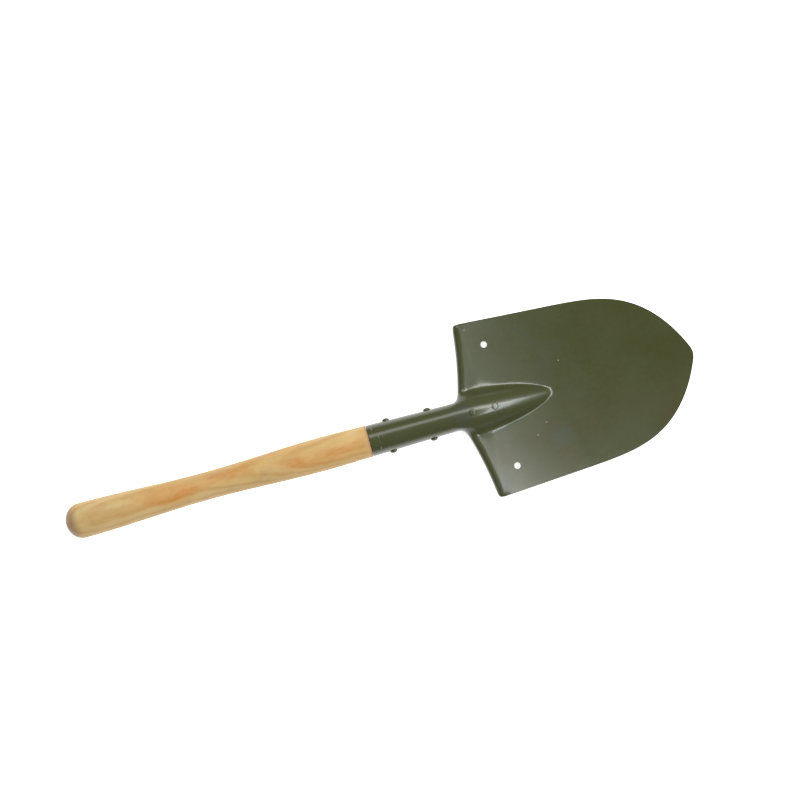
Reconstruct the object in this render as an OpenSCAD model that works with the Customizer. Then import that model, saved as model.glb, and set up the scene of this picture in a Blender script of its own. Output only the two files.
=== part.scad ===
// Camp shovel: a pressed, dished steel blade whose neck wraps a turned wooden handle. A steel strap
// closes the back of the neck, and four steel rivets hold blade, strap and handle together.
// The shovel lies on its back. X runs from the grip to the point, Y is across, and Z is up, out of
// the hollow face of the blade. The origin is under the middle of the shovel, on the ground.

/* [Overall] */
// Length from the end of the grip to the point of the blade
overall_length = 500; // [480:5:520]
// Thickness of the blade sheet
sheet = 2; // [1.6:0.1:2.2]
// Thickness of the back strap
strap_sheet = 1.5; // [1.2:0.1:1.8]

/* [Blade] */
// Length from the root of the shoulders to the point
blade_length = 186; // [180:1:192]
// Half width that the side edges start from at the shoulders
blade_half_width = 69.6; // [66:0.2:72]
// How fast the sides draw in towards the point, in mm per mm
side_draw = 0.062; // [0.04:0.002:0.08]
// Where the rounded point starts, from the root
point_start = 83; // [78:1:88]
// Radius that the blade is dished to
dish_radius = 480; // [440:10:560]
// Deepest place of the dish, from the root
dish_centre = 105; // [98:1:110]
// Radius that the turned-back shoulder edge is rolled to
roll_radius = 5; // [4:0.25:5.5]
// Radius between the neck and each shoulder, seen from above
neck_fillet = 12; // [11:0.5:13]

/* [Neck and ridge] */
// Distance from the root back to the mouth of the socket
socket_length = 73; // [68:1:78]
// Outer diameter of the socket at its mouth
mouth_d = 24.8; // [24:0.1:25.6]
// Outer diameter of the neck at the shoulders
neck_d = 22; // [21:0.1:22.8]
// How far round the handle each side of the neck wraps, from the top, in degrees
neck_wrap = 125; // [115:1:130]
// Distance from the root to the front end of the raised ridge
ridge_length = 72; // [68:1:76]
// Half width of the ridge at the shoulders
ridge_half_width = 16.5; // [15.5:0.25:17.5]

/* [Handle] */
// Largest diameter of the grip
grip_d = 27.2; // [26:0.1:28]
// Diameter of the waist of the handle
waist_d = 21.4; // [20.5:0.1:23]
// Diameter of the swell behind the socket
swell_d = 26; // [25.4:0.1:26.6]
// Clearance between the wood and the steel
fit_gap = 0.1; // [0.05:0.05:0.2]

/* [Holes and rivets] */
// Diameter of the two holes in the blade
hole_d = 5; // [4:0.25:6]
// Distance between the two holes
hole_pitch = 96.8; // [90:0.2:100]
// Distance from the root to the two holes
hole_place = 31.4; // [28:0.2:36]
// Diameter of the rivet shanks
shank_d = 4; // [3:0.25:4.5]
// Diameter of the rivet heads
head_d = 6; // [5.5:0.25:7]

/* [Hidden] */

// Fixed stations along X, and heights above the ground
tip_x = overall_length / 2;
root_x = tip_x - blade_length;
mouth_x = root_x - socket_length;
end_x = -overall_length / 2;
axis_z = grip_d / 2;
dish_x = root_x + dish_centre;
ridge_start = 12;
ridge_end_x = root_x + ridge_length;
strap_end = 60;
cross_places = [-57.2, -24.7];
crest_places = [8.5, 26.6];
neck_end = -9;
nose_height = 2.4;
// Length over which the level crest turns into the falling one
crest_bend = 16;

// Outline: slope and bow radius (doubled) of the shoulders, and the two powers of the pointed arch
shoulder_angle = 15;
shoulder_bow = 530;
arch_power = 3.72;
arch_root = 0.826;
// Angle from the top of the neck where its side edges start to turn
turn_start = 60;

function clamp(v, low, high) = min(max(v, low), high);
function ease(v) = let (t = clamp(v, 0, 1)) t * t * (3 - 2 * t);
function mix(a, b, t) = a + (b - a) * t;

// Outer radius of the neck at s mm ahead of the root
function neck_r(s) = mix(mouth_d, neck_d, min(1, (s + socket_length) / (socket_length + neck_end))) / 2;

// Front face of the dish
function dish_z(x, y) = sheet + ((x - dish_x) ^ 2 + y ^ 2) / (2 * dish_radius);

// Half width of the blade at s: straight sides that draw in, then a pointed arch
function side_w(s) = let (t = clamp((s - point_start) / (blade_length - point_start), 0, 1))
    (blade_half_width - side_draw * s) * (1 - t ^ arch_power) ^ arch_root;

// Rear edge in plan: the fillet beside the neck, then a slightly bowed shoulder
fillet_y = neck_d / 2 + neck_fillet;
shoulder_y = fillet_y - neck_fillet * sin(shoulder_angle);
shoulder_s = neck_end + neck_fillet * cos(shoulder_angle);
function shoulder_line(y) = let (run = y - shoulder_y)
    shoulder_s + tan(shoulder_angle) * run - run ^ 2 / shoulder_bow;

// Ridge: half width, height of the crest line, and shape of the section
function ridge_t(s) = clamp((s - ridge_start) / (ridge_length - ridge_start), 0, 1);
function ridge_w(s) = mix(neck_r(s), ridge_half_width, ease((s - neck_end) / (ridge_start - neck_end)))
    * sqrt(max(0.0004, 1 - ridge_t(s) ^ 1.5));
crest_drop = axis_z + neck_d / 2 - dish_z(ridge_end_x, 0) - nose_height;
crest_fall = crest_drop / (ridge_length - ridge_start);
function crest_bow(s) = norm([s - ridge_start, crest_bend]);
function crest_slope(s) = s <= neck_end ? 0 : crest_fall * (1 + (s - ridge_start) / crest_bow(s)) / 2;
function crest_sink(s) = crest_fall * (crest_bow(s) + s - ridge_start) / 2;
function crest_z(s) = let (
        top = axis_z + neck_r(s),
        ground = dish_z(root_x + s, 0),
        height = max(0, top - crest_sink(s) + crest_sink(neck_end) - ground))
    s <= neck_end ? top : ground + height * sqrt(max(0, 1 - ridge_t(s) ^ 4));
function peak(t, k) = 1 - (sqrt(k ^ 2 + t ^ 2) - k) / (sqrt(k ^ 2 + 1) - k);
function flare(s) = ease((s - neck_end) / (ridge_start - neck_end));
function section(t, s) = mix(sqrt(max(0, 1 - t ^ 2)), peak(t, mix(3, 0.4, ridge_t(s))), flare(s));

// Height that the ridge and the sides of the neck stand on, and the front face of the pressing
function foot_z(s, y) = mix(axis_z, dish_z(root_x + s, y), ease((s - neck_end) / -neck_end));
function face_z(s, y) =
    foot_z(s, y) + (crest_z(s) - foot_z(s, 0)) * section(min(1, abs(y) / ridge_w(s)), s);

// Rows of the pressing from the mouth to the point. A row starts on the centre line at s = row[0] and
// ends on the edge at s = row[1], y = row[2]. row[3] is how far the edge has changed from a wrapped
// neck (0) to a shoulder or side (1), row[4] is the way that the edge faces in plan, 90 being
// sideways, and row[5] is how deeply it is rolled.
neck_row_count = 7;
fillet_row_count = 10;
shoulder_row_count = 6;
ridge_row_count = 14;
point_row_count = 9;
tip_s = blade_length - sheet * (blade_length - dish_centre) / dish_radius;
corner_y = side_w(14);
neck_rows = [for (i = [0:neck_row_count])
    let (s = mix(-socket_length, neck_end, i / neck_row_count)) [s, s, neck_r(s), 0, 90, 1]];
fillet_rows = [for (i = [1:fillet_row_count])
    let (t = i / fillet_row_count, a = (90 - shoulder_angle) * t)
    [mix(neck_end, 8, t), neck_end + neck_fillet * sin(a), fillet_y - neck_fillet * cos(a),
     ease(t), 90 + a, 1]];
shoulder_rows = [for (i = [1:shoulder_row_count])
    let (t = i / shoulder_row_count, y = mix(shoulder_y, corner_y - 2.4, t))
    [mix(8, 19, t), shoulder_line(y), y, 1, 165 + 6 * t, 1]];
corner_rows = [
    [20, shoulder_line(corner_y) + 0.7, corner_y - 0.5, 1, 150, 0.75],
    [21, shoulder_line(corner_y) + 3.4, corner_y, 1, 112, 0.25]];
ridge_rows = [for (i = [0:ridge_row_count]) let (t = i / ridge_row_count, s = mix(18.5, 90, t))
    [mix(22.5, 76, 1 - (1 - t) ^ 1.4), s, side_w(s), 1, 90, 0]];
point_rows = [for (i = [1:point_row_count])
    let (t = 1 - (1 - i / point_row_count) ^ 1.5, s = mix(90, tip_s - 0.9, t))
    [mix(76, tip_s, t), s, side_w(s), 1, 90, 0]];
rows = concat(neck_rows, fillet_rows, shoulder_rows, corner_rows, ridge_rows, point_rows);

// Columns across half a row: over the ridge, on over the dish, then round the edge
ridge_cols = 8;
dish_cols = 5;
edge_cols = 5;
cap_cols = ridge_cols + dish_cols;
cols = cap_cols + edge_cols;

// Points round the edge: k counts from where the edge starts to turn (0) to its rim (edge_cols)
function neck_turn(row, k) = let (a = mix(turn_start, neck_wrap, k / edge_cols), r = neck_r(row[1]))
    [row[1], r * sin(a), axis_z + r * cos(a)];
function shoulder_turn(row, k) = let (
        a = 90 * k / edge_cols,
        out = min(roll_radius, row[2] / 4) * (sin(a) - 1),
        s = row[1] + out * cos(row[4]),
        y = row[2] + out * sin(row[4]))
    [s, y, foot_z(s, y) - row[5] * roll_radius * (1 - cos(a))];
function turn_point(row, k) = mix(neck_turn(row, k), shoulder_turn(row, k), row[3]);

// Points on the cap, which ends where the edge starts to turn
function on_face(s, y) = [root_x + s, y, face_z(s, y)];
function cap_y(row, j, end_y) = let (crest_w = min(max(5, ridge_w(row[0])) + 1, end_y * 0.75))
    j <= ridge_cols ? crest_w * j / ridge_cols : mix(crest_w, end_y, (j - ridge_cols) / dish_cols);
function cap_point(row, j) = let (end = turn_point(row, 0), y = cap_y(row, j, end[1]))
    on_face(mix(row[0], end[0], (y / end[1]) ^ 1.5), y);
function edge_point(row, k) = let (
        p = turn_point(row, k),
        first = turn_point(row, 0),
        lift = face_z(first[0], first[1]) - first[2])
    [root_x + p[0], p[1], p[2] + lift * (1 - k / edge_cols)];
function front_point(row, j) = j <= cap_cols ? cap_point(row, j) : edge_point(row, j - cap_cols);
front = [for (row = rows) [for (j = [-cols:cols])
    let (p = front_point(row, abs(j))) [p[0], sign(j) * p[1], p[2]]]];

// Back face: the front face moved by the sheet's thickness along its own normal
last_row = len(rows) - 1;
last_col = 2 * cols;
function unit(v) = v / max(norm(v), 1e-9);
function normal_at(i, j) = let (
        along = front[min(i + 1, last_row)][j] - front[max(i - 1, 0)][j],
        across = front[i][min(j + 1, last_col)] - front[i][max(j - 1, 0)])
    unit(cross(along, across));
back = [for (i = [0:last_row]) [for (j = [0:last_col]) front[i][j] - sheet * normal_at(i, j)]];

// A closed sheet between two grids of points
module sheet_between(top, bottom) {
    rows_n = len(top);
    cols_n = len(top[0]);
    half = rows_n * cols_n;
    points = concat([for (row = top) for (p = row) p], [for (row = bottom) for (p = row) p]);
    function at(i, j, side) = side * half + i * cols_n + j;
    faces = concat(
        [for (i = [0:rows_n - 2]) for (j = [0:cols_n - 2])
            each [[at(i, j, 0), at(i, j + 1, 0), at(i + 1, j + 1, 0)],
                  [at(i, j, 0), at(i + 1, j + 1, 0), at(i + 1, j, 0)],
                  [at(i, j, 1), at(i + 1, j + 1, 1), at(i, j + 1, 1)],
                  [at(i, j, 1), at(i + 1, j, 1), at(i + 1, j + 1, 1)]]],
        [for (i = [0:rows_n - 2]) each [
            [at(i, 0, 0), at(i + 1, 0, 0), at(i + 1, 0, 1)], [at(i, 0, 0), at(i + 1, 0, 1), at(i, 0, 1)],
            [at(i, cols_n - 1, 0), at(i + 1, cols_n - 1, 1), at(i + 1, cols_n - 1, 0)],
            [at(i, cols_n - 1, 0), at(i, cols_n - 1, 1), at(i + 1, cols_n - 1, 1)]]],
        [for (j = [0:cols_n - 2]) each [
            [at(0, j, 0), at(0, j + 1, 1), at(0, j + 1, 0)], [at(0, j, 0), at(0, j, 1), at(0, j + 1, 1)],
            [at(rows_n - 1, j, 0), at(rows_n - 1, j + 1, 0), at(rows_n - 1, j + 1, 1)],
            [at(rows_n - 1, j, 0), at(rows_n - 1, j + 1, 1), at(rows_n - 1, j, 1)]]]);
    polyhedron(points, faces);
}

// Depths below the outer face of the neck: of the strap's outer face and of its channel
strap_depth = sheet + fit_gap;
channel_depth = strap_depth + strap_sheet;
strap_wedge = 75;
channel_end = 28;
shank_hole = shank_d + 0.2;
flush_d = shank_d + 1.2;
flush_depth = 1;
seat_gap = 0.03;

// Distance that is clear of the whole neck, for cutters
reach = 40;

// A round bar along X from s1 to s2
module bar_x(s1, s2, r1, r2) translate([root_x + s1, 0, axis_z]) rotate([0, 90, 0])
    cylinder(h = s2 - s1, r1 = r1, r2 = r2, $fn = 96);

// A bar that follows the taper of the neck, depth mm below its outer face
module neck_bar(s1, s2, depth) {
    bar_x(s1, neck_end, neck_r(s1) - depth, neck_r(neck_end) - depth);
    bar_x(neck_end, s2, neck_r(neck_end) - depth, neck_r(neck_end) - depth);
}

// The sector of the neck that faces the ground, angle degrees to each side
module back_sector(s1, s2, angle) translate([root_x + s1, 0, axis_z]) rotate([90, 0, 90])
    linear_extrude(s2 - s1) polygon([
        [0, 0], [-reach * sin(angle), -reach * cos(angle)], [-reach, -2 * reach],
        [reach, -2 * reach], [reach * sin(angle), -reach * cos(angle)]]);

// A layer that follows the back of the dish, from depth 1 to depth 2 below it
module dish_layer(depth_1, depth_2) translate([dish_x, 0, dish_radius + sheet]) difference() {
    sphere(r = dish_radius + sheet + depth_2, $fn = 360);
    sphere(r = dish_radius + sheet + depth_1, $fn = 360);
}

module shank_y(s, d, half) translate([root_x + s, 0, axis_z]) rotate([90, 0, 0])
    cylinder(h = 2 * half, d = d, center = true, $fn = 48);
module shank_z(s, d, z1, z2) translate([root_x + s, 0, z1]) cylinder(h = z2 - z1, d = d, $fn = 48);

// Pressed blade with its neck
module blade() color("darkolivegreen") difference() {
    sheet_between(front, back);
    for (side = [-1, 1])
        translate([root_x + hole_place, side * hole_pitch / 2, -1])
            cylinder(h = reach, d = hole_d, $fn = 48);
    for (s = cross_places) shank_y(s, shank_hole, reach);
    for (s = crest_places) {
        shank_z(s, shank_hole, axis_z, reach);
        shank_z(s, flush_d + fit_gap, crest_z(s) - flush_depth, reach);
    }
}

// Back strap: a channel inside the neck that flattens into a tongue under the ridge
tongue_start = 8;
tongue_half_width = 19.5;
tongue_gap = 0.15;
function tongue_w(s) = tongue_half_width
    * sqrt(max(0, 1 - ((s - tongue_start) / (strap_end - tongue_start)) ^ 3));
tongue_heel = [[-0.5, 9.7], [1, 10.5], [4.5, 14], [7, 17.5]];
tongue_edge = concat(tongue_heel,
    [for (i = [0:20]) let (s = mix(tongue_start, strap_end, sin(90 * i / 20))) [s, tongue_w(s)]]);
module back_strap() color("darkolivegreen") difference() {
    union() {
        intersection() {
            dish_layer(tongue_gap, tongue_gap + strap_sheet);
            translate([root_x, 0, -reach]) linear_extrude(2 * reach) polygon(concat(tongue_edge,
                [for (i = [len(tongue_edge) - 2:-1:0]) [tongue_edge[i][0], -tongue_edge[i][1]]]));
        }
        intersection() {
            neck_bar(-socket_length + 1, channel_end, strap_depth);
            back_sector(-socket_length, channel_end + 1, strap_wedge);
        }
    }
    neck_bar(-socket_length, channel_end + 0.5, channel_depth);
    for (s = crest_places) shank_z(s, shank_hole, -5, axis_z);
}

// Handle: a turned grip, then a tang that fills the neck and runs out in the ridge
tang_end = 50;
tang_r = 7;
grip_places = [[-socket_length, mouth_d], [-108, swell_d], [-202, waist_d], [-302, grip_d]];
grip_start = -0.2;
function grip_r(s, i = 0) = s < grip_places[i + 1][0] && i < 2 ? grip_r(s, i + 1)
    : let (a = grip_places[i], b = grip_places[i + 1], t = clamp((a[0] - s) / (a[0] - b[0]), 0, 1))
      (a[1] + (b[1] - a[1]) * (1 - cos(180 * t)) / 2) / 2;
dome_s = grip_places[3][0];
dome_length = root_x + dome_s - end_x;
grip_profile = concat(
    [[0, end_x]],
    [for (i = [1:10]) let (a = 9 * i) [grip_d / 2 * sin(a), root_x + dome_s - dome_length * cos(a)]],
    [for (i = [1:40]) let (s = mix(dome_s, -socket_length, i / 40)) [grip_r(s), root_x + s + grip_start]],
    [[0, mouth_x + grip_start]]);
module tang() difference() {
    union() {
        bar_x(-socket_length - 1, neck_end, mouth_d / 2 - strap_depth, neck_d / 2 - strap_depth);
        bar_x(neck_end, ridge_start, neck_d / 2 - strap_depth, tang_r);
        hull() {
            bar_x(ridge_start - 1, ridge_start, tang_r, tang_r);
            translate([root_x + tang_end - 3, 0, 6.6]) sphere(r = 3.1, $fn = 32);
        }
    }
    difference() {
        back_sector(-socket_length, channel_end + 0.7, strap_wedge + 1.5);
        neck_bar(-socket_length - 1, channel_end + 2, channel_depth + fit_gap);
    }
    intersection() {
        dish_layer(0, 12);
        translate([root_x + channel_end + 0.5, -30, -20]) cube([40, 60, 60]);
    }
}
module handle() color("burlywood") difference() {
    union() {
        translate([0, 0, axis_z]) rotate([0, 90, 0]) rotate_extrude($fn = 96) polygon(grip_profile);
        tang();
    }
    for (s = cross_places) shank_y(s, shank_hole, reach);
    for (s = crest_places) shank_z(s, shank_hole, -5, reach);
}

// Domed rivet head on the plane Z = 0
dome_steps = 8;
module dome(d, h) rotate_extrude($fn = 48) polygon(concat([[0, -1], [d / 2, -1]],
    [for (i = [0:dome_steps]) let (a = 90 * i / dome_steps) [d / 2 * cos(a), h * sin(a)]]));

// Rivet across the neck, with a domed head on each side
head_h = 2;
module cross_rivet(s) color("darkolivegreen") {
    difference() {
        for (side = [-1, 1])
            translate([root_x + s, side * (neck_r(s) - 0.2), axis_z]) rotate([-90 * side, 0, 0])
                dome(head_d, head_h);
        neck_bar(s - 5, 0, -seat_gap);
    }
    shank_y(s, shank_d, neck_r(s) + 1);
}

// Rivet from the crest of the ridge to the strap: flush at the crest, domed behind
back_head_d = 7;
head_proud = 0.3;
module crest_rivet(s) color("darkolivegreen") {
    fall = atan(crest_slope(s));
    back_z = axis_z - neck_d / 2 + strap_depth;
    difference() {
        union() {
            shank_z(s, flush_d, crest_z(s) - flush_depth + seat_gap, crest_z(s) + 3);
            shank_z(s, shank_d, back_z - 1, crest_z(s));
        }
        translate([root_x + s, 0, crest_z(s) + head_proud]) rotate([0, fall, 0])
            translate([-reach / 2, -reach / 2, 0]) cube(reach);
    }
    difference() {
        translate([root_x + s, 0, back_z + 0.2]) rotate([180, 0, 0]) dome(back_head_d, head_h);
        neck_bar(neck_end - 1, s + 6, strap_depth - seat_gap);
        dish_layer(-1, tongue_gap + strap_sheet + seat_gap);
    }
}

blade();
back_strap();
handle();
cross_rivet(cross_places[0]);  // cross_rivet_rear
cross_rivet(cross_places[1]);  // cross_rivet_front
crest_rivet(crest_places[0]);  // crest_rivet_rear
crest_rivet(crest_places[1]);  // crest_rivet_front
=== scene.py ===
# %% [markdown]
# # A camp shovel, built around its frame
# A short steel blade is riveted to a turned wooden handle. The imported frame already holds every
# piece at its true size and place, so this lesson only makes what the eye needs: the smooth
# pressing of the blade, the turned wood, the peened rivets, the paint and the light.

# %% Load the frame
import math

import bpy
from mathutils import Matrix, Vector


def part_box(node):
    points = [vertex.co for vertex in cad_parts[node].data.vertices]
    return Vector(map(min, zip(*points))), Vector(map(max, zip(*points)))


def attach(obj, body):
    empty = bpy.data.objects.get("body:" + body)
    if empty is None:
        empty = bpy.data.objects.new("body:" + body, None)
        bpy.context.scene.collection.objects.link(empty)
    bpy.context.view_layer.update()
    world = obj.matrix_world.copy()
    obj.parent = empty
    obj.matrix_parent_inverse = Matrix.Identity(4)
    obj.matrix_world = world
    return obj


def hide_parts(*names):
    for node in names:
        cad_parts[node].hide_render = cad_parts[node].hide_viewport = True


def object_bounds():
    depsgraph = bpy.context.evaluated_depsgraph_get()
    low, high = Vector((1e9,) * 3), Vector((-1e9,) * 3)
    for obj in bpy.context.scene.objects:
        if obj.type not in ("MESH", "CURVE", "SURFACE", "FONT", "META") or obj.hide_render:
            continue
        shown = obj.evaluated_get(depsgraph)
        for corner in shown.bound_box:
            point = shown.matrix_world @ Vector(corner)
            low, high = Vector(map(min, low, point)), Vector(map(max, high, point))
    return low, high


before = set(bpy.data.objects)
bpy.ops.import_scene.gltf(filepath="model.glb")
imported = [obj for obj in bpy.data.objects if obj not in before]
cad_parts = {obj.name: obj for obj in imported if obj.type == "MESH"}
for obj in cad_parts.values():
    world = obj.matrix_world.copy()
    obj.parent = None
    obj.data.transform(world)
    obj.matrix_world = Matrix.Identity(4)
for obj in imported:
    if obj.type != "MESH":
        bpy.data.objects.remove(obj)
frame_box = [list(corner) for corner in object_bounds()]
print("frame, mm:", [[round(v * 1000, 1) for v in corner] for corner in frame_box])

# %% [markdown]
# ## Camera
# The shovel is seen from straight above, but for a few degrees, and from far off, so that its
# sides hardly converge. A long lens does that. The camera looks at a point beside the neck and
# is turned so that the handle runs down to the left.

# %% Camera
VIEW_CENTRE = Vector((0.0218, 0.0243, 0.010))
VIEW_WIDTH = 0.6159
VIEW_TURN = math.radians(-15.43)
VIEW_TILT = math.radians(2.5)
VIEW_DISTANCE = 1.65
SENSOR = 0.036

across = Vector((math.cos(VIEW_TURN), math.sin(VIEW_TURN), 0.0))
upward = Vector((-across.y, across.x, 0.0))
view_data = bpy.data.cameras.new("camera")
view_data.sensor_width = SENSOR * 1000
view_data.lens = SENSOR * 1000 * VIEW_DISTANCE / VIEW_WIDTH
camera = bpy.data.objects.new("camera", view_data)
bpy.context.scene.collection.objects.link(camera)
camera.location = VIEW_CENTRE + VIEW_DISTANCE * (
    Vector((0, 0, math.cos(VIEW_TILT))) - upward * math.sin(VIEW_TILT))
camera.rotation_euler = (VIEW_TILT, 0, VIEW_TURN)
bpy.context.scene.camera = camera
print("lens, mm:", round(view_data.lens, 1))

# %% [markdown]
# ## Working by hand, in code
# Operators act on whatever is selected, so each piece starts with nothing selected. Sizes are
# written in millimetres, as on a drawing, and turned into metres where a mesh is made.

# %% Small helpers
MM = 0.001


def select_only(*pieces):
    """Select these objects and nothing else, and make the first one active."""
    if bpy.context.object and bpy.context.object.mode != "OBJECT":
        bpy.ops.object.mode_set(mode="OBJECT")
    bpy.ops.object.select_all(action="DESELECT")
    for piece in pieces:
        piece.select_set(True)
    if pieces:
        bpy.context.view_layer.objects.active = pieces[0]


def clamp(value, low=0.0, high=1.0):
    return max(low, min(high, value))


def mix(a, b, t):
    return a + (b - a) * t


def ease(value):
    t = clamp(value)
    return t * t * (3 - 2 * t)


# %% [markdown]
# ## Shape of the pressing
# The blade and its neck are one sheet of steel, pressed between two tools. Pushing faces about by
# hand would leave dents in it, so its curves are written down first, as a toolmaker would: a round
# dish, a pointed outline, a ridge that falls from the neck into the dish, and a neck that wraps
# round the wood. Lengths s run forward from the root of the shoulders.

# %% Measures of the pressing
SHEET = 2.0
BLADE_LENGTH = 186.0
HALF_WIDTH = 69.6
SIDE_DRAW = 0.062
POINT_START = 83.0
DISH_RADIUS = 480.0
DISH_CENTRE = 105.0
ROLL_RADIUS = 5.0
NECK_FILLET = 12.0
SOCKET_LENGTH = 73.0
MOUTH_R = 12.4
NECK_R = 11.0
NECK_WRAP = 125.0
NECK_END = -9.0
RIDGE_START = 12.0
RIDGE_LENGTH = 72.0
RIDGE_HALF_WIDTH = 16.5
NOSE_HEIGHT = 2.4
CREST_BEND = 16.0
SHOULDER_ANGLE = math.radians(15)
SHOULDER_BOW = 530.0
ARCH_POWER = 3.72
ARCH_ROOT = 0.826
TAPER_POWER = 1.5
DROP_POWER = 4
FLANK_ROUND, FLANK_PEAKED = 3, 0.4

TIP_X = frame_box[1][0] / MM
ROOT_X = TIP_X - BLADE_LENGTH
HANDLE_LOW, HANDLE_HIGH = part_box("handle")
AXIS_Z = (HANDLE_LOW.z + HANDLE_HIGH.z) / 2 / MM
DISH_X = ROOT_X + DISH_CENTRE
print("root at x =", round(ROOT_X, 2), "mm, handle axis at z =", round(AXIS_Z, 2), "mm")


# %% Dish, outline and ridge
def neck_r(s):
    """Outer radius of the neck."""
    return mix(MOUTH_R, NECK_R, min(1.0, (s + SOCKET_LENGTH) / (SOCKET_LENGTH + NECK_END)))


def dish_z(x, y):
    """Front face of the dish."""
    return SHEET + ((x - DISH_X) ** 2 + y * y) / (2 * DISH_RADIUS)


def side_w(s):
    """Half width of the outline: straight sides that draw in, then a pointed arch."""
    t = clamp((s - POINT_START) / (BLADE_LENGTH - POINT_START))
    return (HALF_WIDTH - SIDE_DRAW * s) * (1 - t ** ARCH_POWER) ** ARCH_ROOT


def ridge_t(s):
    return clamp((s - RIDGE_START) / (RIDGE_LENGTH - RIDGE_START))


def ridge_w(s):
    """Half width of the ridge."""
    width = mix(neck_r(s), RIDGE_HALF_WIDTH, ease((s - NECK_END) / (RIDGE_START - NECK_END)))
    return width * math.sqrt(max(0.0004, 1 - ridge_t(s) ** TAPER_POWER))


CREST_FALL = ((AXIS_Z + NECK_R - dish_z(ROOT_X + RIDGE_LENGTH, 0) - NOSE_HEIGHT)
              / (RIDGE_LENGTH - RIDGE_START))


def crest_bow(s):
    return math.hypot(s - RIDGE_START, CREST_BEND)


def crest_slope(s):
    return 0.0 if s <= NECK_END else CREST_FALL * (1 + (s - RIDGE_START) / crest_bow(s)) / 2


def crest_sink(s):
    return CREST_FALL * (crest_bow(s) + s - RIDGE_START) / 2


def crest_z(s):
    """Height of the crest line, level over the neck, then bending down to a short nose."""
    top = AXIS_Z + neck_r(s)
    if s <= NECK_END:
        return top
    ground = dish_z(ROOT_X + s, 0)
    height = max(0.0, top - crest_sink(s) + crest_sink(NECK_END) - ground)
    return ground + height * math.sqrt(max(0.0, 1 - ridge_t(s) ** DROP_POWER))


def section(t, s):
    """Height across the ridge, from 1 on the crest to 0 at the foot: round, then peaked."""
    k = mix(FLANK_ROUND, FLANK_PEAKED, ridge_t(s))
    peaked = 1 - (math.hypot(k, t) - k) / (math.hypot(k, 1) - k)
    flare = ease((s - NECK_END) / (RIDGE_START - NECK_END))
    return mix(math.sqrt(max(0.0, 1 - t * t)), peaked, flare)


def foot_z(s, y):
    return mix(AXIS_Z, dish_z(ROOT_X + s, y), ease((s - NECK_END) / -NECK_END))


def face_z(s, y):
    """Front face of the pressing."""
    return foot_z(s, y) + (crest_z(s) - foot_z(s, 0)) * section(min(1.0, abs(y) / ridge_w(s)), s)


print("crest at the shoulders:", round(crest_z(0), 1), "mm")
print("crest just before the nose:", round(crest_z(RIDGE_LENGTH - 2), 1), "mm")

# %% [markdown]
# ## Rows and columns of the sheet
# The flat grid has a row for each station from the mouth of the neck to the point. A row starts on
# the centre line and ends on the edge. Beside the neck the edge turns outwards through a fillet,
# and along the shoulder it is rolled down, which gives the foot something broad to push on.

# %% Rows from the mouth to the point
FILLET_Y = NECK_R + NECK_FILLET
SHOULDER_Y = FILLET_Y - NECK_FILLET * math.sin(SHOULDER_ANGLE)
SHOULDER_S = NECK_END + NECK_FILLET * math.cos(SHOULDER_ANGLE)
CORNER_Y = side_w(14)
CORNER_R = 2.4
SIDE_END = 90
TIP_S = BLADE_LENGTH - SHEET * (BLADE_LENGTH - DISH_CENTRE) / DISH_RADIUS


def shoulder_line(y):
    run = y - SHOULDER_Y
    return SHOULDER_S + math.tan(SHOULDER_ANGLE) * run - run * run / SHOULDER_BOW


# Where the rows of the fillet and of the shoulder end on the centre line, and the way the edge
# faces in plan, in degrees: along the sides, after the fillet, along the shoulder, at the point.
FILLET_END, SHOULDER_END = 8, 19
FACE_SIDE, FACE_SHOULDER, FACE_CORNER, FACE_POINT = 90.0, 165.0, 171.0, 108.0

# A row: s on the centre line, s and y on the edge, share of shoulder (0 on the neck), the way the
# edge faces, and how deeply it is rolled.
rows = []
for i in range(8):
    s = mix(-SOCKET_LENGTH, NECK_END, i / 7)
    rows.append((s, s, neck_r(s), 0.0, FACE_SIDE, 1.0))
for i in range(1, 11):
    t = i / 10
    a = math.radians((FACE_SHOULDER - FACE_SIDE) * t)
    rows.append((mix(NECK_END, FILLET_END, t), NECK_END + NECK_FILLET * math.sin(a),
                 FILLET_Y - NECK_FILLET * math.cos(a), ease(t),
                 mix(FACE_SIDE, FACE_SHOULDER, t), 1.0))
for i in range(1, 12):
    t = (i / 11) ** 1.4
    y = mix(SHOULDER_Y, CORNER_Y - CORNER_R, t)
    rows.append((mix(FILLET_END, SHOULDER_END, t), shoulder_line(y), y, 1.0,
                 mix(FACE_SHOULDER, FACE_CORNER, t), 1.0))
rows.append((20, shoulder_line(CORNER_Y) + 0.7, CORNER_Y - 0.5, 1.0, 150.0, 0.75))
rows.append((21, shoulder_line(CORNER_Y) + 3.4, CORNER_Y, 1.0, 112.0, 0.25))
for i in range(15):
    t = i / 14
    s = mix(18.5, SIDE_END, t)
    rows.append((mix(22.5, 76, 1 - (1 - t) ** 1.4), s, side_w(s), 1.0, FACE_SIDE, 0.0))
for i in range(1, 10):
    t = 1 - (1 - i / 9) ** 1.5
    s = mix(SIDE_END, TIP_S - 0.9, t)
    rows.append((mix(76, TIP_S, t), s, side_w(s), 1.0, FACE_POINT if i == 9 else FACE_SIDE, 0.0))
print("rows:", len(rows))

# %% Columns across the sheet
RIDGE_COLS = 8
DISH_SHARES = (0.06, 0.2, 0.42, 0.64, 0.84, 1.0)
EDGE_COLS = 5
TURN_START = 60
CAP_COLS = RIDGE_COLS + len(DISH_SHARES)
HALF_COLS = CAP_COLS + EDGE_COLS


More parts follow.
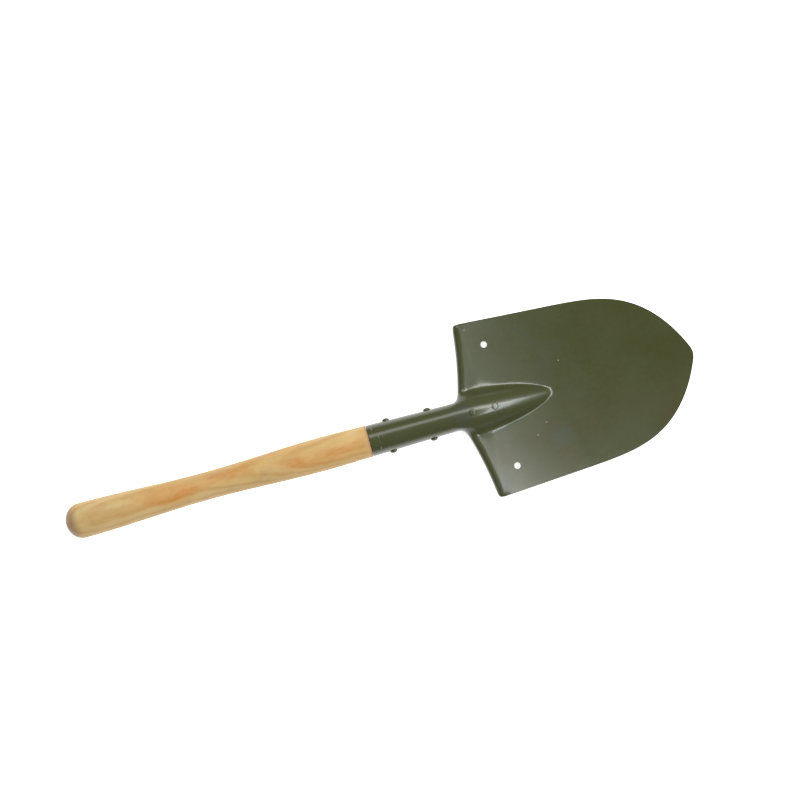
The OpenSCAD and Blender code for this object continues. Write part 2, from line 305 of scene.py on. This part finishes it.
def turned_edge(row, k):
    """Where the edge turns: k runs from the start of the turn (0) to the rim (EDGE_COLS)."""
    _, s, y, shoulder, facing, roll = row
    a = math.radians(mix(TURN_START, NECK_WRAP, k / EDGE_COLS))
    r = neck_r(s)
    on_neck = Vector((s, r * math.sin(a), AXIS_Z + r * math.cos(a)))
    a = math.radians(90 * k / EDGE_COLS)
    out = min(ROLL_RADIUS, y / 4) * (math.sin(a) - 1)
    s += out * math.cos(math.radians(facing))
    y += out * math.sin(math.radians(facing))
    drop = roll * ROLL_RADIUS * (1 - math.cos(a))
    return on_neck.lerp(Vector((s, y, foot_z(s, y) - drop)), shoulder)


def pressed(row, column):
    """Place of one grid point after pressing, in mm, on the positive side of the centre line."""
    start = turned_edge(row, 0)
    if column > CAP_COLS:
        k = column - CAP_COLS
        point = turned_edge(row, k)
        point.z += (face_z(start.x, start.y) - start.z) * (1 - k / EDGE_COLS)
        return point
    crest_w = min(max(5.0, ridge_w(row[0])) + 1, start.y * 0.75)
    if column <= RIDGE_COLS:
        y = crest_w * column / RIDGE_COLS
    else:
        y = mix(crest_w, start.y, DISH_SHARES[column - RIDGE_COLS - 1])
    s = mix(row[0], start.x, (y / start.y) ** 1.5)
    return Vector((s, y, face_z(s, y)))


# %% [markdown]
# ## The blade
# A primitive grid is the flat blank. Each of its points is moved to where the press leaves it.
# Solidify gives the sheet its thickness, away from the hollow face, and Subdivision Surface
# rounds everything the way a press does, with a small crease on the sheared edges so that they
# stay crisp. The holes are drilled last, with Boolean, because a drill comes after the press.

# %% Press the blank
select_only()
bpy.ops.mesh.primitive_grid_add(x_subdivisions=len(rows) - 1, y_subdivisions=2 * HALF_COLS, size=1)
blade = bpy.context.object
blade.name = "blade_pressing"
for vertex in blade.data.vertices:
    i = round((vertex.co.x + 0.5) * (len(rows) - 1))
    j = round((vertex.co.y + 0.5) * 2 * HALF_COLS) - HALF_COLS
    place = pressed(rows[i], abs(j))
    vertex.co = Vector((ROOT_X + place.x, math.copysign(place.y, j), place.z)) * MM
print("blank:", len(blade.data.vertices), "points")

# %% Ease the metal where the shoulder, the ridge and the neck meet
# The patch gets smaller each time, so that the easing fades out towards its edge.
MEET_S = (-8.0, 30.0)
MEET_Y = (11.0, 36.0)
EASING = 0.4
for shrink in (0.0, 2.5, 5.0, 7.5):
    select_only(blade)
    bpy.ops.object.mode_set(mode="EDIT")
    bpy.ops.mesh.select_all(action="DESELECT")
    bpy.ops.object.mode_set(mode="OBJECT")
    for vertex in blade.data.vertices:
        s, y = vertex.co.x / MM - ROOT_X, abs(vertex.co.y) / MM
        on_top = vertex.co.z / MM > dish_z(ROOT_X + s, y) - 0.5
        vertex.select = (MEET_S[0] + shrink < s < MEET_S[1] - shrink
                         and MEET_Y[0] + shrink / 2 < y < MEET_Y[1] - shrink and on_top)
    eased = sum(vertex.select for vertex in blade.data.vertices)
    bpy.ops.object.mode_set(mode="EDIT")
    bpy.ops.mesh.vertices_smooth(factor=EASING, repeat=1)
    bpy.ops.object.mode_set(mode="OBJECT")
    print("eased points:", eased)


# %% Thickness and smooth curves
def apply_modifiers(piece):
    select_only(piece)
    for modifier in list(piece.modifiers):
        bpy.ops.object.modifier_apply(modifier=modifier.name)


wall = blade.modifiers.new("wall", "SOLIDIFY")
wall.thickness = SHEET * MM
wall.offset = -1
wall.use_even_offset = False
wall.edge_crease_inner = wall.edge_crease_outer = 0.55
curves = blade.modifiers.new("curves", "SUBSURF")
curves.levels = curves.render_levels = 2
apply_modifiers(blade)
print("pressing:", len(blade.data.polygons), "faces")

# %% Drill the blade
HOLE_R = 2.5
HOLE_X = ROOT_X + 31.4
HOLE_Y = 48.4
SHANK_R = 2.1
CROSS_PLACES = {"cross_rivet_rear": -57.2, "cross_rivet_front": -24.7}
CREST_PLACES = {"crest_rivet_rear": 8.5, "crest_rivet_front": 26.6}
FLUSH_R = 2.6
FLUSH_DEPTH = 1.0
SEAT_PLAY = 0.08
DRILL_REACH = 20
ABOVE = 40


def drill(piece, x, y, z_low, z_high, r, sideways=False):
    """Cut a round hole of radius r, upright, or from side to side of the neck."""
    select_only()
    turn = (math.pi / 2, 0, 0) if sideways else (0, 0, 0)
    bpy.ops.mesh.primitive_cylinder_add(vertices=48, radius=r * MM, depth=(z_high - z_low) * MM,
                                        location=(x * MM, y * MM, (z_low + z_high) / 2 * MM),
                                        rotation=turn)
    bit = bpy.context.object
    cut = piece.modifiers.new("drill", "BOOLEAN")
    cut.operation = "DIFFERENCE"
    cut.solver = "EXACT"
    cut.object = bit
    apply_modifiers(piece)
    bpy.data.objects.remove(bit)


for side in (-1, 1):
    drill(blade, HOLE_X, side * HOLE_Y, 0, ABOVE - 10, HOLE_R)
for s in CROSS_PLACES.values():
    drill(blade, ROOT_X + s, 0, AXIS_Z - DRILL_REACH, AXIS_Z + DRILL_REACH, SHANK_R, True)
for s in CREST_PLACES.values():
    drill(blade, ROOT_X + s, 0, AXIS_Z, ABOVE, SHANK_R)
    drill(blade, ROOT_X + s, 0, crest_z(s) - FLUSH_DEPTH, ABOVE, FLUSH_R + SEAT_PLAY)
select_only(blade)
bpy.ops.object.shade_smooth_by_angle(angle=math.radians(35))
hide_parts("blade")
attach(blade, "root")
print("drilled:", len(blade.data.polygons), "faces")

# %% [markdown]
# ## Turned pieces
# A handle and a rivet are both round, so both are made as on a lathe. A circle is extruded along
# its axis from station to station and resized at each one. A pole is closed by merging its ring.


# %% Turn a round piece
def turned(name, stations, sides):
    """Stations are (x, z of the centre, radius) in mm, along X. A radius of 0 closes the end."""
    select_only()
    x, z, r = stations[1]
    bpy.ops.mesh.primitive_circle_add(vertices=sides, radius=r * MM, fill_type="NOTHING",
                                      location=(x * MM, 0, z * MM), rotation=(0, math.pi / 2, 0))
    piece = bpy.context.object
    piece.name = name
    bpy.ops.object.transform_apply(location=True, rotation=True, scale=True)
    bpy.ops.object.mode_set(mode="EDIT")
    bpy.ops.mesh.select_all(action="SELECT")
    for x_next, z_next, r_next in stations[2:-1]:
        step = ((x_next - x) * MM, 0, (z_next - z) * MM)
        bpy.ops.mesh.extrude_region_move(TRANSFORM_OT_translate={"value": step})
        grow = r_next / r
        bpy.ops.transform.resize(value=(1, grow, grow),
                                 center_override=(x_next * MM, 0, z_next * MM))
        x, z, r = x_next, z_next, r_next
    for end in (stations[-1], stations[0]):
        # The last ring is the selected one. The first ring is found by its open edge.
        bpy.ops.mesh.extrude_region_move(
            TRANSFORM_OT_translate={"value": ((end[0] - x) * MM, 0, (end[1] - z) * MM)})
        bpy.ops.mesh.merge(type="CENTER")
        bpy.ops.mesh.select_all(action="DESELECT")
        bpy.ops.mesh.select_mode(type="VERT")
        bpy.ops.mesh.select_non_manifold()
        x, z, r = stations[1]
    bpy.ops.mesh.select_all(action="SELECT")
    bpy.ops.mesh.normals_make_consistent(inside=False)
    bpy.ops.object.mode_set(mode="OBJECT")
    return piece


# %% [markdown]
# ## The handle
# A stick of pale hardwood is turned to a swell behind the socket, a slim waist and a fuller grip
# with a domed end. Inside the neck it steps down to a tang, which the rivets pass through.

# %% Handle stations
GRIP_R = 13.6
GRIP_START = -302.0
END_X = HANDLE_LOW.x / MM
GRIP_PLACES = ((-SOCKET_LENGTH, MOUTH_R), (-108.0, 13.0), (-202.0, 10.7), (GRIP_START, GRIP_R))
MOUTH_GAP = 0.2
MOUTH_ROUND = 0.7
TANG_R = 8.6
TANG_FRONT_R = 7.0


def grip_r(s):
    """Radius of the grip: cosine curves from one turned place to the next."""
    for (s_a, r_a), (s_b, r_b) in zip(GRIP_PLACES, GRIP_PLACES[1:]):
        if s >= s_b:
            return mix(r_a, r_b, (1 - math.cos(math.pi * (s_a - s) / (s_a - s_b))) / 2)
    return GRIP_R


dome = ROOT_X + GRIP_START - END_X
stations = [(END_X, AXIS_Z, 0)]
for i in range(1, 16):
    a = math.radians(6 * i)
    stations.append((ROOT_X + GRIP_START - dome * math.cos(a), AXIS_Z, GRIP_R * math.sin(a)))
for i in range(1, 61):
    s = mix(GRIP_START, -SOCKET_LENGTH - MOUTH_GAP - MOUTH_ROUND, i / 60)
    stations.append((ROOT_X + s, AXIS_Z, grip_r(s)))
x_end, _, r_end = stations[-1]
for i in range(1, 4):
    a = math.radians(30 * i)
    stations.append((x_end + MOUTH_ROUND * math.sin(a), AXIS_Z,
                     r_end - MOUTH_ROUND * (1 - math.cos(a))))
# The tang: s, height of the centre and radius of each station, down into the end of the ridge.
tang = [(-SOCKET_LENGTH - MOUTH_GAP, AXIS_Z, TANG_R + 0.4), (-SOCKET_LENGTH + 0.6, AXIS_Z, TANG_R),
        (NECK_END, AXIS_Z, TANG_FRONT_R), (RIDGE_START, AXIS_Z - 0.3, TANG_FRONT_R - 0.7),
        (30, 10.4, 4.8), (44, 7.0, 3.0), (47, 6.5, 1.8), (47.6, 6.4, 0)]
stations += [(ROOT_X + s, z, r) for s, z, r in tang]

# %% Turn and drill the handle
handle = turned("handle_turned", stations, 96)
for s in CROSS_PLACES.values():
    drill(handle, ROOT_X + s, 0, AXIS_Z - DRILL_REACH, AXIS_Z + DRILL_REACH, SHANK_R, True)
for s in CREST_PLACES.values():
    drill(handle, ROOT_X + s, 0, 0, ABOVE, SHANK_R)
select_only(handle)
bpy.ops.object.shade_smooth_by_angle(angle=math.radians(40))
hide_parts("handle")
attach(handle, "root")
print("handle:", len(handle.data.polygons), "faces")

# %% [markdown]
# ## Crest rivets
# Two rivets come up through the strap and are hammered flush in the crest of the ridge. The head
# fills a shallow seat, stands a hair proud and has a softened rim, which is what catches the light.
# The turning helper works along X, so each rivet is turned lying down and then stood up.

# %% Turn the crest rivets
STRAP_TOP = 2.1
BACK_HEAD_R = 3.5
BACK_HEAD_H = 1.9
PROUD = 0.35
SHANK_PLAY = 0.1
STEP = 0.02


def stand_up(piece, x):
    """Turn a piece that lies along X upright, so that its x becomes a height over the ground."""
    for vertex in piece.data.vertices:
        vertex.co = Vector((x * MM + vertex.co.z, vertex.co.y, vertex.co.x))
    select_only(piece)
    bpy.ops.object.mode_set(mode="EDIT")
    bpy.ops.mesh.select_all(action="SELECT")
    bpy.ops.mesh.normals_make_consistent(inside=False)
    bpy.ops.object.mode_set(mode="OBJECT")


crest_rivets = []
for name, s in CREST_PLACES.items():
    top = crest_z(s) + PROUD
    flush = crest_z(s) - FLUSH_DEPTH
    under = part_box(name)[0].z / MM
    seat = AXIS_Z - NECK_R + STRAP_TOP
    shank_r = SHANK_R - SHANK_PLAY
    profile = [(under, 0, 0)]
    for i in range(1, 9):
        a = math.radians(11.25 * i)
        profile.append((seat - BACK_HEAD_H * math.cos(a) if i < 8 else seat, 0,
                        BACK_HEAD_R * math.sin(a)))
    profile += [(seat + STEP, 0, shank_r), (flush, 0, shank_r),
                (flush + STEP, 0, FLUSH_R), (top - 0.35, 0, FLUSH_R),
                (top - 0.17, 0, FLUSH_R - 0.12), (top - 0.06, 0, FLUSH_R - 0.4),
                (top - 0.03, 0, FLUSH_R - 0.9), (top, 0, 0.8), (top + 0.01, 0, 0)]
    rivet = turned(name + "_peened", profile, 48)
    stand_up(rivet, ROOT_X + s)
    for vertex in rivet.data.vertices:
        if vertex.co.z > (flush - FLUSH_DEPTH / 2) * MM:
            vertex.co.z -= (vertex.co.x - (ROOT_X + s) * MM) * crest_slope(s)
    select_only(rivet)
    bpy.ops.object.shade_smooth_by_angle(angle=math.radians(40))
    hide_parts(name)
    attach(rivet, "root")
    crest_rivets.append(rivet)
    print(name, "top at", round(top, 2), "mm")

# %% [markdown]
# ## Paint
# The steel is sprayed with a satin olive paint. It is not one flat colour: it is thinner and
# browner in places, finely mottled, a little rippled, and scuffed where it has been handled. All
# of that is mixed from noise in the object's own coordinates, so it stays put from every side.


# %% Node helper
def add(tree, kind, inputs=None, **settings):
    """Add a node, set it up, and link or set its inputs."""
    made = tree.nodes.new(kind)
    for key, value in settings.items():
        setattr(made, key, value)
    for key, value in (inputs or {}).items():
        if isinstance(value, bpy.types.NodeSocket):
            tree.links.new(value, made.inputs[key])
        else:
            made.inputs[key].default_value = value
    return made


def new_material(name):
    material = bpy.data.materials.new(name)
    material.use_nodes = True
    tree = material.node_tree
    where = add(tree, "ShaderNodeTexCoord").outputs["Object"]
    return material, tree, tree.nodes["Principled BSDF"], where


def noise(tree, where, scale, detail=2.0, roughness=0.5, stretch=None, offset=(0, 0, 0)):
    """Grey noise. Stretch squeezes the pattern along each axis."""
    if stretch or any(offset):
        where = add(tree, "ShaderNodeMapping",
                    {"Vector": where, "Scale": stretch or (1, 1, 1), "Location": offset}).outputs[0]
    made = add(tree, "ShaderNodeTexNoise", {"Vector": where, "Scale": scale, "Detail": detail,
                                            "Roughness": roughness})
    return made.outputs["Fac"]


def ramp(tree, value, low, high, start=0.0, end=1.0):
    """Move a value that runs from low to high to the range start to end."""
    return add(tree, "ShaderNodeMapRange", {"Value": value, "From Min": low, "From Max": high,
                                            "To Min": start, "To Max": end},
               interpolation_type="SMOOTHSTEP").outputs["Result"]


def blend(tree, share, first, second):
    """Mix two colours."""
    made = tree.nodes.new("ShaderNodeMix")
    made.data_type = "RGBA"
    for number, value in ((0, share), (6, first), (7, second)):
        socket = made.inputs[number]
        if isinstance(value, bpy.types.NodeSocket):
            tree.links.new(value, socket)
        else:
            socket.default_value = value
    return made.outputs[2]


def times(tree, first, second, operation="MULTIPLY"):
    """Work on two values: their product, or their sum or the larger of them."""
    made = tree.nodes.new("ShaderNodeMath")
    made.operation = operation
    made.use_clamp = operation == "MULTIPLY"
    for socket, value in zip(made.inputs, (first, second)):
        if isinstance(value, bpy.types.NodeSocket):
            tree.links.new(value, socket)
        else:
            socket.default_value = value
    return made.outputs[0]


# %% Olive paint
OLIVE = (0.040, 0.043, 0.0045, 1)
OLIVE_PALE = (0.056, 0.060, 0.023, 1)
OLIVE_BROWN = (0.051, 0.040, 0.007, 1)
OLIVE_BLUE = (0.042, 0.051, 0.031, 1)
BARE_SCUFF = (0.36, 0.37, 0.31, 1)


def olive_paint(name, roughness, scuffs):
    """Satin paint. Roughness is that of a clean spot, and scuffs how many it has at the socket."""
    material, tree, shader, where = new_material(name)
    parts = add(tree, "ShaderNodeSeparateXYZ", {"Vector": where})
    cloud = ramp(tree, noise(tree, where, 14, 4, 0.55), 0.40, 0.68, 0.0, 0.5)
    # Painted highlight: the paint is blended paler over the rear of the blade and over the neck, in
    # place of the light that the shoulders and the neck reflect.
    rear = ramp(tree, parts.outputs["X"], 0.150, 0.085, 0.0, 0.55)
    colour = blend(tree, cloud, OLIVE, OLIVE_PALE)
    colour = blend(tree, rear, colour, OLIVE_PALE)
    brown = ramp(tree, noise(tree, where, 24, 3, 0.6, offset=(0.3, 0.1, 0)), 0.54, 0.70, 0, 0.6)
    colour = blend(tree, brown, colour, OLIVE_BROWN)
    blue = ramp(tree, noise(tree, where, 28, 2, 0.5, offset=(0.1, 0.4, 0.2)), 0.58, 0.72, 0, 0.7)
    colour = blend(tree, blue, colour, OLIVE_BLUE)
    mottle = ramp(tree, noise(tree, where, 300, 4, 0.75), 0.3, 0.7, 0.0, 0.30)
    colour = blend(tree, mottle, colour, OLIVE_PALE)
    # Small nicks all over, and long thin scuffs that run round the neck near its mouth.
    nick = add(tree, "ShaderNodeTexVoronoi", {"Vector": where, "Scale": 150, "Randomness": 1.0})
    nick_size = ramp(tree, nick.outputs["Distance"], 0.10, 0.04)
    rare = ramp(tree, noise(tree, where, 70, 2), 0.60, 0.66)
    marks = times(tree, times(tree, nick_size, rare), 0.6)
    streak = ramp(tree, noise(tree, where, 420, 3, 0.7, stretch=(1.0, 0.2, 0.2)), 0.60, 0.70)
    near_mouth = ramp(tree, parts.outputs["X"], 0.010, -0.008, 0, scuffs)
    marks = times(tree, marks, times(tree, streak, near_mouth), "MAXIMUM")
    colour = blend(tree, marks, colour, BARE_SCUFF)
    tree.links.new(colour, shader.inputs["Base Color"])
    rough = ramp(tree, noise(tree, where, 45, 4, 0.6), 0.3, 0.7, roughness - 0.05, roughness + 0.08)
    tree.links.new(rough, shader.inputs["Roughness"])
    shader.inputs["Specular IOR Level"].default_value = 0.12
    shader.inputs["Coat Weight"].default_value = 0.8
    shader.inputs["Coat Roughness"].default_value = 0.22
    peel = add(tree, "ShaderNodeBump", {"Height": noise(tree, where, 900, 2, 0.5), "Strength": 0.10,
                                        "Distance": 0.0004})
    wave = add(tree, "ShaderNodeBump", {"Height": noise(tree, where, 60, 2, 0.5), "Strength": 0.30,
                                        "Distance": 0.0010, "Normal": peel.outputs[0]})
    chip = add(tree, "ShaderNodeBump", {"Height": marks, "Strength": 0.35, "Distance": 0.0002,
                                        "Normal": wave.outputs[0]}, invert=True)
    tree.links.new(chip.outputs[0], shader.inputs["Normal"])
    return material


def dress(piece, material):
    """Give a piece, or a CAD node, this finish all over."""
    for slot in piece.material_slots:
        slot.material = material
    if not piece.material_slots:
        piece.data.materials.append(material)


blade_paint = olive_paint("olive_paint_blade", 0.42, 0.8)
rivet_paint = olive_paint("olive_paint_rivets", 0.38, 0.3)
dress(blade, blade_paint)
dress(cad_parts["back_strap"], blade_paint)
for piece in crest_rivets + [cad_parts[name] for name in CROSS_PLACES]:
    dress(piece, rivet_paint)
print("paint on", 2 + len(crest_rivets) + len(CROSS_PLACES), "pieces")

# %% [markdown]
# ## Wood
# The stick was sawn a little across the grain, so the growth rings come out as long flames. Rings
# round a tree axis that lies beside the handle, and not quite along it, give exactly that figure
# when the turned surface cuts through them. Pores, orange heart streaks and hand dirt go on top.

# %% Oiled hardwood
WOOD = (0.542, 0.326, 0.109, 1)
WOOD_LATE = (0.43, 0.209, 0.046, 1)
WOOD_PALE = (0.602, 0.435, 0.2, 1)
WOOD_GREEN = (0.507, 0.374, 0.15, 1)
WOOD_HEART = (0.516, 0.187, 0.025, 1)
DARKENED_WOOD = (0.33, 0.18, 0.10, 1)
WOOD_BUMP = 0.0002
# x and y of a flame, its half length and half width, and its strength
FLAMES = ((-0.168, 0.009, 0.036, 0.010, 0.95), (-0.128, 0.012, 0.034, 0.008, 0.5),
          (-0.048, 0.006, 0.050, 0.011, 0.6))

material, tree, shader, where = new_material("handle_wood")
parts = add(tree, "ShaderNodeSeparateXYZ", {"Vector": where})
# The rings wander, more across the stick than along it.
along = add(tree, "ShaderNodeMapping", {"Vector": where, "Scale": (0.30, 1, 1)}).outputs[0]
wander = add(tree, "ShaderNodeTexNoise", {"Vector": along, "Scale": 30, "Detail": 2.5,
                                          "Roughness": 0.5})
bent = add(tree, "ShaderNodeVectorMath", {0: wander.outputs["Color"], 1: (0.0, 0.016, 0.016)},
           operation="MULTIPLY")
bent = add(tree, "ShaderNodeVectorMath", {0: where, 1: bent.outputs[0]}, operation="ADD")
tree_axis = add(tree, "ShaderNodeMapping", {
    "Vector": bent.outputs[0], "Location": (0.0, 0.004, 0.028), "Rotation": (0, -0.075, 0.03)})
ring = add(tree, "ShaderNodeTexWave", {"Vector": tree_axis.outputs[0], "Scale": 75,
                                       "Distortion": 1.6, "Detail": 3.0, "Detail Scale": 1.5,
                                       "Detail Roughness": 0.6},
           wave_type="RINGS", rings_direction="X", wave_profile="SIN").outputs["Fac"]
late = ramp(tree, ring, 0.30, 1.0)
patch = ramp(tree, noise(tree, along, 40, 3, 0.5), 0.40, 0.68)
colour = blend(tree, times(tree, patch, 0.75), WOOD, WOOD_PALE)
green = ramp(tree, noise(tree, along, 36, 2, 0.5, offset=(0.4, 0.1, 0.2)), 0.48, 0.70)
colour = blend(tree, times(tree, green, 0.50), colour, WOOD_GREEN)
colour = blend(tree, times(tree, late, 0.46), colour, WOOD_LATE)
# Orange heart: a faint cloud, and three flames where the cut grazes the heart of the tree.
cloud = noise(tree, along, 30, 3, 0.6, offset=(0.055, 0.018, 0.01))
heart = ramp(tree, cloud, 0.52, 0.72, 0.0, 0.5)
for x, y, length, width, strength in FLAMES:
    place = add(tree, "ShaderNodeMapping", {"Vector": bent.outputs[0], "Location": (x, y, 0.0),
                                            "Scale": (length, width, 1.0)}, vector_type="TEXTURE")
    flame = add(tree, "ShaderNodeTexGradient", {"Vector": place.outputs[0]},
                gradient_type="SPHERICAL")
    heart = times(tree, heart, ramp(tree, flame.outputs["Fac"], 0.0, 0.75, 0.0, strength), "ADD")
heart = times(tree, heart, ramp(tree, ring, 0.0, 0.9, 0.55, 1.0))
colour = blend(tree, heart, colour, WOOD_HEART)
pore = ramp(tree, noise(tree, where, 1500, 2, 0.6, stretch=(0.05, 1, 1)), 0.56, 0.74)
colour = blend(tree, times(tree, pore, 0.30), colour, WOOD_LATE)
fleck = ramp(tree, noise(tree, where, 420, 3, 0.7, stretch=(0.25, 1, 1)), 0.35, 0.65, 0.0, 0.22)
colour = blend(tree, fleck, colour, WOOD_PALE)
# Dirt on the domed end and lightly all over the grip, and a darker band on the wood where it goes
# into the socket.
end_dirt = ramp(tree, parts.outputs["X"], -0.236, -0.2505, 0.0, 0.75)
crack = ramp(tree, parts.outputs["X"], -0.0112, -0.0096, 0.0, 0.85)
smudge = ramp(tree, noise(tree, where, 60, 4, 0.7), 0.52, 0.75, 0, 0.28)
dirt_and_mouth_band = times(tree, times(tree, end_dirt, crack, "MAXIMUM"), smudge, "MAXIMUM")
colour = blend(tree, dirt_and_mouth_band, colour, DARKENED_WOOD)
tree.links.new(colour, shader.inputs["Base Color"])
rough = ramp(tree, noise(tree, where, 80, 3, 0.6), 0.3, 0.7, 0.45, 0.62)
tree.links.new(rough, shader.inputs["Roughness"])
shader.inputs["Specular IOR Level"].default_value = 0.35
grain = add(tree, "ShaderNodeBump", {"Height": pore, "Strength": 0.30, "Distance": WOOD_BUMP},
            invert=True)
tool = add(tree, "ShaderNodeBump", {"Height": noise(tree, where, 90, 2, 0.5, stretch=(0.5, 1, 1)),
                                    "Strength": 0.25, "Distance": 4 * WOOD_BUMP,
                                    "Normal": grain.outputs[0]})
tree.links.new(tool.outputs[0], shader.inputs["Normal"])
dress(handle, material)
print("wood nodes:", len(tree.nodes))

# %% [markdown]
# ## Stage and light
# A plain white sheet lies under the shovel. The light is that of a product table: a narrow bright
# box beyond the point, a broad weak one beyond the long side, a small one between the two, and a
# dim room. The dish then shows a soft change of tone, palest at the near shoulder, and the ridge a
# bright crest with dark flanks. The paleness over the rear of the dish is partly a painted
# highlight in the olive paint.

# %% Floor
PAPER = (0.90, 0.90, 0.90, 1)
PAPER_PALE = (0.92, 0.92, 0.92, 1)
FLOOR_SIZE = 1.7
FLOOR_DROP = 0.0003
select_only()
bpy.ops.mesh.primitive_plane_add(size=FLOOR_SIZE,
                                 location=(VIEW_CENTRE.x, VIEW_CENTRE.y, -FLOOR_DROP))
floor = bpy.context.object
floor.name = "floor"
material, tree, shader, where = new_material("white_paper")
paper = blend(tree, ramp(tree, noise(tree, where, 300, 2), 0.3, 0.7), PAPER, PAPER_PALE)
tree.links.new(paper, shader.inputs["Base Color"])
shader.inputs["Roughness"].default_value = 0.9
shader.inputs["Specular IOR Level"].default_value = 0.0
shader.inputs["Emission Color"].default_value = (1, 1, 1, 1)
shader.inputs["Emission Strength"].default_value = 0.85
dress(floor, material)


# %% Soft boxes
AIM = Vector((0.08, 0, 0.01))


def soft_box(name, toward, tilt, distance, broad, deep, radiance, colour):
    """A flat light that faces the shovel, tilt degrees from straight up, on the side toward.
    Broad is its level edge, and deep the edge that slopes."""
    data = bpy.data.lights.new(name, "AREA")
    data.shape = "RECTANGLE"
    data.size, data.size_y = broad, deep
    data.energy = radiance * math.pi * broad * deep
    data.color = colour
    box = bpy.data.objects.new(name, data)
    bpy.context.scene.collection.objects.link(box)
    tilt = math.radians(tilt)
    direction = toward.normalized() * math.sin(tilt) + Vector((0, 0, math.cos(tilt)))
    box.location = AIM + direction * distance
    box.rotation_euler = direction.to_track_quat("Z", "Y").to_euler()


soft_box("box_beyond_point", across, 37, 1.9, 1.5, 0.36, 15.0, (0.86, 0.94, 1.0))
soft_box("box_long_side", upward, 29, 2.0, 2.4, 0.70, 4.4, (1.0, 1.0, 1.0))
soft_box("box_far_corner", across + upward, 32, 1.9, 0.9, 0.40, 8.5, (1.0, 1.0, 1.0))
world = bpy.data.worlds.new("room")
world.use_nodes = True
world.node_tree.nodes["Background"].inputs["Color"].default_value = (0.95, 0.98, 1.0, 1)
world.node_tree.nodes["Background"].inputs["Strength"].default_value = 0.20
bpy.context.scene.world = world
bpy.context.scene.view_settings.view_transform = "Standard"
bpy.context.scene.view_settings.look = "None"
